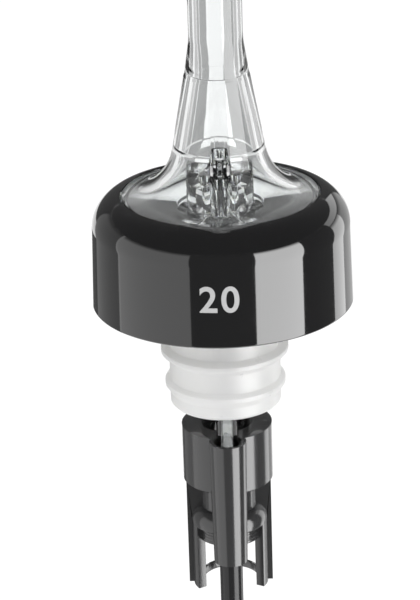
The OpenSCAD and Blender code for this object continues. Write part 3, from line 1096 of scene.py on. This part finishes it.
make_ball("large_ball", "metering_ball", meter_axis, "metering_ball")
make_ball("small_ball_low", "air_ball_lower", air_axis, "air_ball_lower")
make_ball("small_ball_high", "air_ball_upper", air_axis, "air_ball_upper")

# %% [markdown]
# ## A white ground
#
# The photograph has a pure white ground. More light on the floor would make it white too, but would wash out the
# object. So the floor and the world show as white to the camera and to what the clear and shiny pieces show of them,
# and otherwise give only a plain soft light.

# %% World
WORLD_LIGHT = 0.68


def seen_directly(tree):
    """One where a ray comes straight from the camera, or through or off a shiny surface."""
    path = tree.nodes.new("ShaderNodeLightPath")
    either = tree.nodes.new("ShaderNodeMath")
    either.operation = "MAXIMUM"
    both = tree.nodes.new("ShaderNodeMath")
    both.operation = "MAXIMUM"
    tree.links.new(path.outputs["Is Glossy Ray"], either.inputs[0])
    tree.links.new(path.outputs["Is Transmission Ray"], either.inputs[1])
    tree.links.new(either.outputs[0], both.inputs[0])
    tree.links.new(path.outputs["Is Camera Ray"], both.inputs[1])
    return both.outputs[0]


def white_world():
    """A world that is white to look at and lights the object softly."""
    world = bpy.data.worlds.new("studio")
    bpy.context.scene.world = world
    world.use_nodes = True
    tree = world.node_tree
    soft = tree.nodes["Background"]
    soft.inputs["Color"].default_value = (1, 1, 1, 1)
    soft.inputs["Strength"].default_value = WORLD_LIGHT
    plain = tree.nodes.new("ShaderNodeBackground")
    plain.inputs["Strength"].default_value = 1.0
    plain.inputs["Color"].default_value = (1, 1, 1, 1)
    mix = tree.nodes.new("ShaderNodeMixShader")
    tree.links.new(seen_directly(tree), mix.inputs["Fac"])
    tree.links.new(soft.outputs[0], mix.inputs[1])
    tree.links.new(plain.outputs[0], mix.inputs[2])
    tree.links.new(mix.outputs[0], tree.nodes["World Output"].inputs["Surface"])


white_world()

# %% Floor
FLOOR_GAP = 90 * mm
FLOOR_SIZE = 6.0
FLOOR_GLOW = 1.15
FLOOR_GLOW_SHARE = 0.8
PAPER = (0.9, 0.9, 0.9, 1)


def add_floor():
    """A pale floor below the object, which glows white where it is seen."""
    deselect()
    bpy.ops.mesh.primitive_grid_add(size=FLOOR_SIZE, x_subdivisions=8, y_subdivisions=8,
                                    location=(0, 0, cad_box[0][2] - FLOOR_GAP))
    floor = bpy.context.object
    floor.name = "floor"
    material = bpy.data.materials.new("floor_white")
    material.use_nodes = True
    tree = material.node_tree
    paper = tree.nodes["Principled BSDF"]
    paper.inputs["Base Color"].default_value = PAPER
    paper.inputs["Roughness"].default_value = 0.9
    glow = tree.nodes.new("ShaderNodeEmission")
    glow.inputs["Strength"].default_value = FLOOR_GLOW
    share = tree.nodes.new("ShaderNodeMath")
    share.operation = "MULTIPLY"
    share.inputs[1].default_value = FLOOR_GLOW_SHARE
    mix = tree.nodes.new("ShaderNodeMixShader")
    tree.links.new(seen_directly(tree), share.inputs[0])
    tree.links.new(share.outputs[0], mix.inputs["Fac"])
    tree.links.new(paper.outputs[0], mix.inputs[1])
    tree.links.new(glow.outputs[0], mix.inputs[2])
    tree.links.new(mix.outputs[0], tree.nodes["Material Output"].inputs["Surface"])
    floor.data.materials.append(material)
    print("floor at z %.0f mm" % (floor.location.z / mm))


add_floor()

# %% [markdown]
# ## Panels round the object
#
# Black gloss and clear plastic look like what stands around them. The photographer used soft boxes for that. Lamps
# would do the same but light everything at once, so here curved sheets that glow stand round the object, and each
# one is hidden from all rays but those it is meant for. A sheet is drawn at one azimuth and spun to another.

# %% Panel helpers
FRONT = -90
PANEL_STEPS = 24


def glow_material(name, strength):
    """A material that only glows."""
    material = bpy.data.materials.new(name)
    material.use_nodes = True
    tree = material.node_tree
    tree.nodes.remove(tree.nodes["Principled BSDF"])
    glow = tree.nodes.new("ShaderNodeEmission")
    glow.inputs["Strength"].default_value = strength
    tree.links.new(glow.outputs[0], tree.nodes["Material Output"].inputs["Surface"])
    return material


def sweep_panel(name, start, stop, outline, material):
    """A panel turned about the object between two azimuths in degrees, counted from the front to the right."""
    panel = draw(name, outline, azimuth=math.radians(start + FRONT))
    bpy.ops.mesh.select_all(action="SELECT")
    bpy.ops.mesh.delete(type="ONLY_FACE")
    bpy.ops.mesh.select_all(action="SELECT")
    bpy.ops.mesh.spin(steps=PANEL_STEPS, angle=math.radians(stop - start), center=(0, 0, 0), axis=(0, 0, -1))
    bpy.ops.object.mode_set(mode="OBJECT")
    panel.data.materials.append(material)
    panel.visible_camera = False
    panel.visible_diffuse = False
    panel.visible_shadow = False
    return panel


# %% [markdown]
# The cards show only in reflections. They draw the broad grey panel on the left of the collar and the bright panels
# on its right. A wall that faces half a card's azimuth shows the card, because a mirror turns the view by twice its
# own angle. A card fades out at its top, so that its reflection on the shoulder has no hard end. The dark ones, and
# the dark roof, keep the white world out of the blacks.

# %% Cards
CARD_DISTANCE = 180
CARD_LOW = -165
CARD_HIGH = 95
FADE = 25
DARK = 0.1
CARDS = [  # name, start and stop azimuth, strength, lowest and highest point
    ("card_centre", -27.4, 26.5, 0.14, CARD_LOW, CARD_HIGH),
    ("card_left", -97, -27.4, 0.9, CARD_LOW, CARD_HIGH),
    ("card_right", 26.5, 70.5, 4.8, CARD_LOW, CARD_HIGH),
    ("card_right_gap", 70.5, 109.3, 0.12, CARD_LOW, CARD_HIGH),
    ("card_right_back", 109.3, 130, 1.8, CARD_LOW, 60),
    ("card_right_end", 130, 156, 0.6, CARD_LOW, 60),
    ("card_left_back", -140, -99, 0.3, CARD_LOW, CARD_HIGH),
    ("card_left_end", -160, -140, DARK, CARD_LOW, -45),
    ("card_left_high", -160, -140, DARK, 0, CARD_HIGH),
    ("card_back", 156, 200, DARK, 0, CARD_HIGH),
]


def fade_at_top(material, strength, top):
    """Takes a glow down to DARK over a short way below a height."""
    tree = material.node_tree
    place = tree.nodes.new("ShaderNodeTexCoord")
    parts = tree.nodes.new("ShaderNodeSeparateXYZ")
    fade = tree.nodes.new("ShaderNodeMapRange")
    fade.inputs["From Min"].default_value = (top - FADE) * mm
    fade.inputs["From Max"].default_value = top * mm
    fade.inputs["To Min"].default_value = strength
    fade.inputs["To Max"].default_value = DARK
    tree.links.new(place.outputs["Object"], parts.inputs["Vector"])
    tree.links.new(parts.outputs["Z"], fade.inputs["Value"])
    tree.links.new(fade.outputs["Result"], tree.nodes["Emission"].inputs["Strength"])


for name, start, stop, strength, low, high in CARDS:
    glow = glow_material(name, strength)
    if strength > DARK:
        fade_at_top(glow, strength, high)
    card = sweep_panel(name, start, stop, [(CARD_DISTANCE, low), (CARD_DISTANCE, high)], glow)
    card.visible_transmission = False
print("cards:", len(CARDS))

# %% [markdown]
# The clear pieces would show the cards as grey and black shapes, which the photograph doesn't have. So a tent stands
# round the cards that only rays through a clear piece see. It is grey at most sides and white behind the neck, which
# gives the neck its white middle and grey bands, and the gaps between its walls show the white world as bright lines.
# A low wall stands close behind the tubes in the gap, and a high one lights the spout's foot.
#
# The clear disc shades the cork's head below it, as any solid does for a lamp. So the tent is much brighter for a ray
# that has come off a matt surface. Such rays are the ones that leave the cork through the disc, and LIT makes the
# head about as white as in the photograph.

# %% Tent
TENT_DISTANCE = 190
TENT_HIGH_DISTANCE = TENT_DISTANCE - 6
TENT_HIGH_FROM = 15
TENT_LOW_DISTANCE = 45
LIT = 8.0
TENT = [  # name, start and stop azimuth, strength, distance, lowest and highest point
    ("tent_front", -98, 98, 0.5, TENT_DISTANCE, CARD_LOW, CARD_HIGH),
    ("tent_side_right", 98, 128, 0.6, TENT_DISTANCE, CARD_LOW, CARD_HIGH),
    ("tent_side_left", -128, -98, 0.6, TENT_DISTANCE, CARD_LOW, CARD_HIGH),
    ("tent_back_right", 143, 172.5, 0.42, TENT_DISTANCE, CARD_LOW, CARD_HIGH),
    ("tent_back_left", -157, -143, 0.42, TENT_DISTANCE, CARD_LOW, CARD_HIGH),
    ("tent_back_left_inner", -172.5, -159, 0.42, TENT_DISTANCE, CARD_LOW, CARD_HIGH),
    ("tent_back", 172.5, 187.5, 1.2, TENT_DISTANCE, CARD_LOW, CARD_HIGH),
    ("tent_low", 140, 220, 0.42, TENT_LOW_DISTANCE, -36, 9),
    ("tent_high_right", 120, 171, 1.0, TENT_HIGH_DISTANCE, TENT_HIGH_FROM, CARD_HIGH),
    ("tent_high", 171, 189, 0.5, TENT_HIGH_DISTANCE, TENT_HIGH_FROM, CARD_HIGH),
    ("tent_high_left", 189, 240, 1.0, TENT_HIGH_DISTANCE, TENT_HIGH_FROM, CARD_HIGH),
]


def tent_glow(name, strength):
    """A glow that is as strong as LIT for rays that have come off a matt surface."""
    material = glow_material(name, strength)
    tree = material.node_tree
    path = tree.nodes.new("ShaderNodeLightPath")
    choose = tree.nodes.new("ShaderNodeMapRange")
    choose.inputs["To Min"].default_value = strength
    choose.inputs["To Max"].default_value = LIT
    tree.links.new(path.outputs["Diffuse Depth"], choose.inputs["Value"])
    tree.links.new(choose.outputs["Result"], tree.nodes["Emission"].inputs["Strength"])
    return material


for name, start, stop, strength, distance, low, high in TENT:
    wall = sweep_panel(name, start, stop, [(distance, low), (distance, high)], tent_glow(name, strength))
    wall.visible_glossy = False
print("tent walls:", len(TENT))

# %% [markdown]
# The roof is double for the same reason. Reflections see a dark one, which keeps the collar's shoulder black, and
# the clear pieces see a light one a little above it.

# %% Roofs
ROOF_HIGH = 330
ROOF_HOLE = 1
ROOF_SEAM = -179
TENT_ROOF_HIGH = ROOF_HIGH + 5
TENT_ROOF_GLOW = 0.9


def add_roof(name, distance, high, material):
    """A wall from the cards' top up to a height, and a roof that closes in over the object."""
    outline = [(distance, CARD_HIGH), (distance, high), (ROOF_HOLE, high)]
    return sweep_panel(name, ROOF_SEAM, ROOF_SEAM + 360, outline, material)


card_roof = add_roof("card_roof", CARD_DISTANCE, ROOF_HIGH, glow_material("card_roof", DARK))
card_roof.visible_transmission = False
tent_roof = add_roof("tent_roof", TENT_DISTANCE, TENT_ROOF_HIGH, tent_glow("tent_roof", TENT_ROOF_GLOW))
tent_roof.visible_glossy = False
print("roofs at %d and %d mm" % (ROOF_HIGH, TENT_ROOF_HIGH))

# %% [markdown]
# ## Lamps
#
# Three large, weak lamps, one at each side and one above, give the cork and the satin blacks their soft shading. They
# don't show in reflections, because the cards draw those.

# %% Lamps
LAMPS = [  # name, place and size in metres, watts
    ("lamp_right", (0.7, -0.6, 0.5), 0.5, 2.0),
    ("lamp_left", (-0.8, -0.5, 0.5), 0.7, 1.5),
    ("lamp_top", (0, 0.1, 0.9), 0.6, 1.5),
]

for name, place, size, watts in LAMPS:
    deselect()
    bpy.ops.object.light_add(type="AREA", location=place)
    lamp = bpy.context.object
    lamp.name = name
    lamp.data.size = size
    lamp.data.energy = watts
    lamp.rotation_euler = (-Vector(place)).to_track_quat("-Z", "Y").to_euler()
    lamp.visible_glossy = False
print("lamps:", len(LAMPS))

# %% [markdown]
# ## Finish
#
# The view shows the colours as they are, with the Standard transform, and nothing is left selected.

# %% Close
bpy.context.scene.view_settings.view_transform = "Standard"
deselect()
